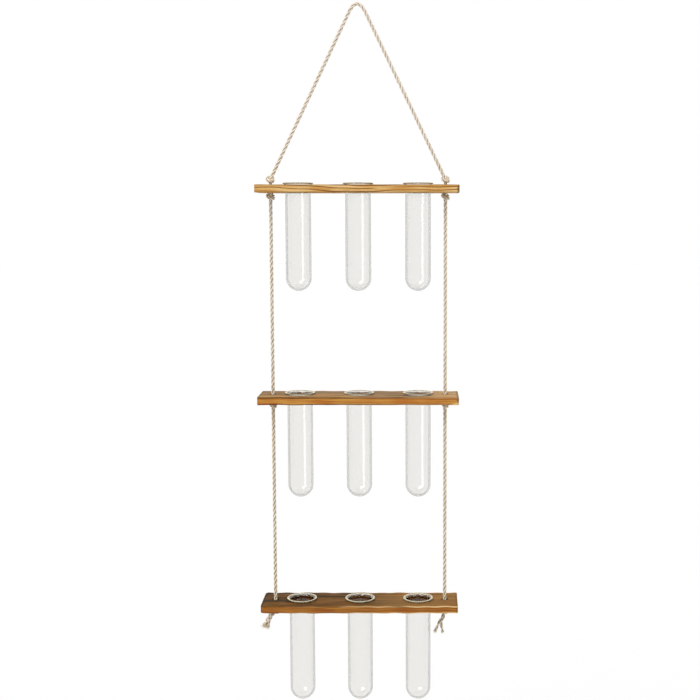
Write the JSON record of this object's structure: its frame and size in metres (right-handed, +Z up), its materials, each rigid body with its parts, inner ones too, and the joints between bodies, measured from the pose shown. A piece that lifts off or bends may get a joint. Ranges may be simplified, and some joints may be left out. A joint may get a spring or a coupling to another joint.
{
  "type": "hanging propagation vase",
  "caption": "Hanging propagation vase: wooden boards slung on a knotted rope, each holding round-bottomed glass tubes by their flared lips for rooting cuttings in water.",
  "frame": {"origin": "centre of the peg that the rope hangs over", "axes": "+Z up, the front towards -Y, +X to the right of someone facing it"},
  "size_m": [0.236, 0.056, 0.8276],
  "materials": {
    "golden_wood": "light brown stain with scorched grain",
    "brown_wood": "warm brown stain with scorched grain and edges",
    "clear_glass": "clear, fire-polished lips",
    "jute_rope": "natural twisted jute"
  },
  "bodies": {
    "hanger": {"hanger_rope": "jute_rope", "left_stop_knot": "jute_rope", "right_stop_knot": "jute_rope", "top_left_hole_rope": "jute_rope", "top_right_hole_rope": "jute_rope"},
    "top_tier": {"top_board": "golden_wood"},
    "upper_knots": {"top_left_knot": "jute_rope", "top_right_knot": "jute_rope"},
    "upper_left_rope": {"upper_left_rope": "jute_rope"},
    "upper_right_rope": {"upper_right_rope": "jute_rope"},
    "middle_rope_ends": {"middle_left_hole_rope": "jute_rope", "middle_right_hole_rope": "jute_rope"},
    "middle_tier": {"middle_board": "brown_wood"},
    "lower_knots": {"middle_left_knot": "jute_rope", "middle_right_knot": "jute_rope"},
    "lower_left_rope": {"lower_left_rope": "jute_rope"},
    "lower_right_rope": {"lower_right_rope": "jute_rope"},
    "bottom_rope_ends": {"bottom_left_hole_rope": "jute_rope", "bottom_right_hole_rope": "jute_rope", "bottom_left_knot": "jute_rope", "bottom_right_knot": "jute_rope", "left_tail": "jute_rope", "right_tail": "jute_rope"},
    "bottom_tier": {"bottom_board": "brown_wood"},
    "top_left_tube": {"top_left_tube": "clear_glass"},
    "top_centre_tube": {"top_centre_tube": "clear_glass"},
    "top_right_tube": {"top_right_tube": "clear_glass"},
    "middle_left_tube": {"middle_left_tube": "clear_glass"},
    "middle_centre_tube": {"middle_centre_tube": "clear_glass"},
    "middle_right_tube": {"middle_right_tube": "clear_glass"},
    "bottom_left_tube": {"bottom_left_tube": "clear_glass"},
    "bottom_centre_tube": {"bottom_centre_tube": "clear_glass"},
    "bottom_right_tube": {"bottom_right_tube": "clear_glass"}
  },
  "joints": [
    {"name": "top_tip", "type": "hinge", "parent": "hanger", "child": "top_tier", "pos_m": [0, 0, -0.21182], "axis": [1, 0, 0], "range_deg": [-7, 7]},
    {"name": "upper_swing", "type": "hinge", "parent": "hanger", "child": "upper_knots", "pos_m": [0, 0, -0.21182], "axis": [1, 0, 0], "range_deg": [-15, 15]},
    {"name": "upper_left_sway", "type": "hinge", "parent": "upper_knots", "child": "upper_left_rope", "pos_m": [-0.102, 0, -0.21182], "axis": [0, 1, 0], "range_deg": [-5, 5]},
    {"name": "upper_right_sway", "type": "hinge", "parent": "upper_knots", "child": "upper_right_rope", "pos_m": [0.102, 0, -0.21182], "axis": [0, 1, 0], "range_deg": [-5, 5]},
    {"name": "middle_level", "type": "hinge", "parent": "upper_left_rope", "child": "middle_rope_ends", "pos_m": [-0.102, 0, -0.443], "axis": [0, 1, 0], "range_deg": [-5, 5]},
    {"name": "middle_tip", "type": "hinge", "parent": "middle_rope_ends", "child": "middle_tier", "pos_m": [0, 0, -0.45782], "axis": [1, 0, 0], "range_deg": [-7, 7]},
    {"name": "lower_swing", "type": "hinge", "parent": "middle_rope_ends", "child": "lower_knots", "pos_m": [0, 0, -0.45782], "axis": [1, 0, 0], "range_deg": [-15, 15]},
    {"name": "lower_left_sway", "type": "hinge", "parent": "lower_knots", "child": "lower_left_rope", "pos_m": [-0.102, 0, -0.45782], "axis": [0, 1, 0], "range_deg": [-5, 5]},
    {"name": "lower_right_sway", "type": "hinge", "parent": "lower_knots", "child": "lower_right_rope", "pos_m": [0.102, 0, -0.45782], "axis": [0, 1, 0], "range_deg": [-5, 5]},
    {"name": "bottom_level", "type": "hinge", "parent": "lower_left_rope", "child": "bottom_rope_ends", "pos_m": [-0.102, 0, -0.693], "axis": [0, 1, 0], "range_deg": [-5, 5]},
    {"name": "bottom_tip", "type": "hinge", "parent": "bottom_rope_ends", "child": "bottom_tier", "pos_m": [0, 0, -0.70782], "axis": [1, 0, 0], "range_deg": [-7, 7]},
    {"name": "top_left_lift", "type": "slide", "parent": "top_tier", "child": "top_left_tube", "axis": [0, 0, 1], "range_m": [0, 0.024]},
    {"name": "top_centre_lift", "type": "slide", "parent": "top_tier", "child": "top_centre_tube", "axis": [0, 0, 1], "range_m": [0, 0.126]},
    {"name": "top_right_lift", "type": "slide", "parent": "top_tier", "child": "top_right_tube", "axis": [0, 0, 1], "range_m": [0, 0.024]},
    {"name": "middle_left_lift", "type": "slide", "parent": "middle_tier", "child": "middle_left_tube", "axis": [0, 0, 1], "range_m": [0, 0.112]},
    {"name": "middle_centre_lift", "type": "slide", "parent": "middle_tier", "child": "middle_centre_tube", "axis": [0, 0, 1], "range_m": [0, 0.112]},
    {"name": "middle_right_lift", "type": "slide", "parent": "middle_tier", "child": "middle_right_tube", "axis": [0, 0, 1], "range_m": [0, 0.112]},
    {"name": "bottom_left_lift", "type": "slide", "parent": "bottom_tier", "child": "bottom_left_tube", "axis": [0, 0, 1], "range_m": [0, 0.116]},
    {"name": "bottom_centre_lift", "type": "slide", "parent": "bottom_tier", "child": "bottom_centre_tube", "axis": [0, 0, 1], "range_m": [0, 0.116]},
    {"name": "bottom_right_lift", "type": "slide", "parent": "bottom_tier", "child": "bottom_right_tube", "axis": [0, 0, 1], "range_m": [0, 0.116]}
  ],
  "couplings": [
    {"joint": "upper_right_sway", "follows": "upper_left_sway", "ratio": 1},
    {"joint": "middle_level", "follows": "upper_left_sway", "ratio": -1},
    {"joint": "lower_right_sway", "follows": "lower_left_sway", "ratio": 1},
    {"joint": "bottom_level", "follows": "lower_left_sway", "ratio": -1}
  ]
}
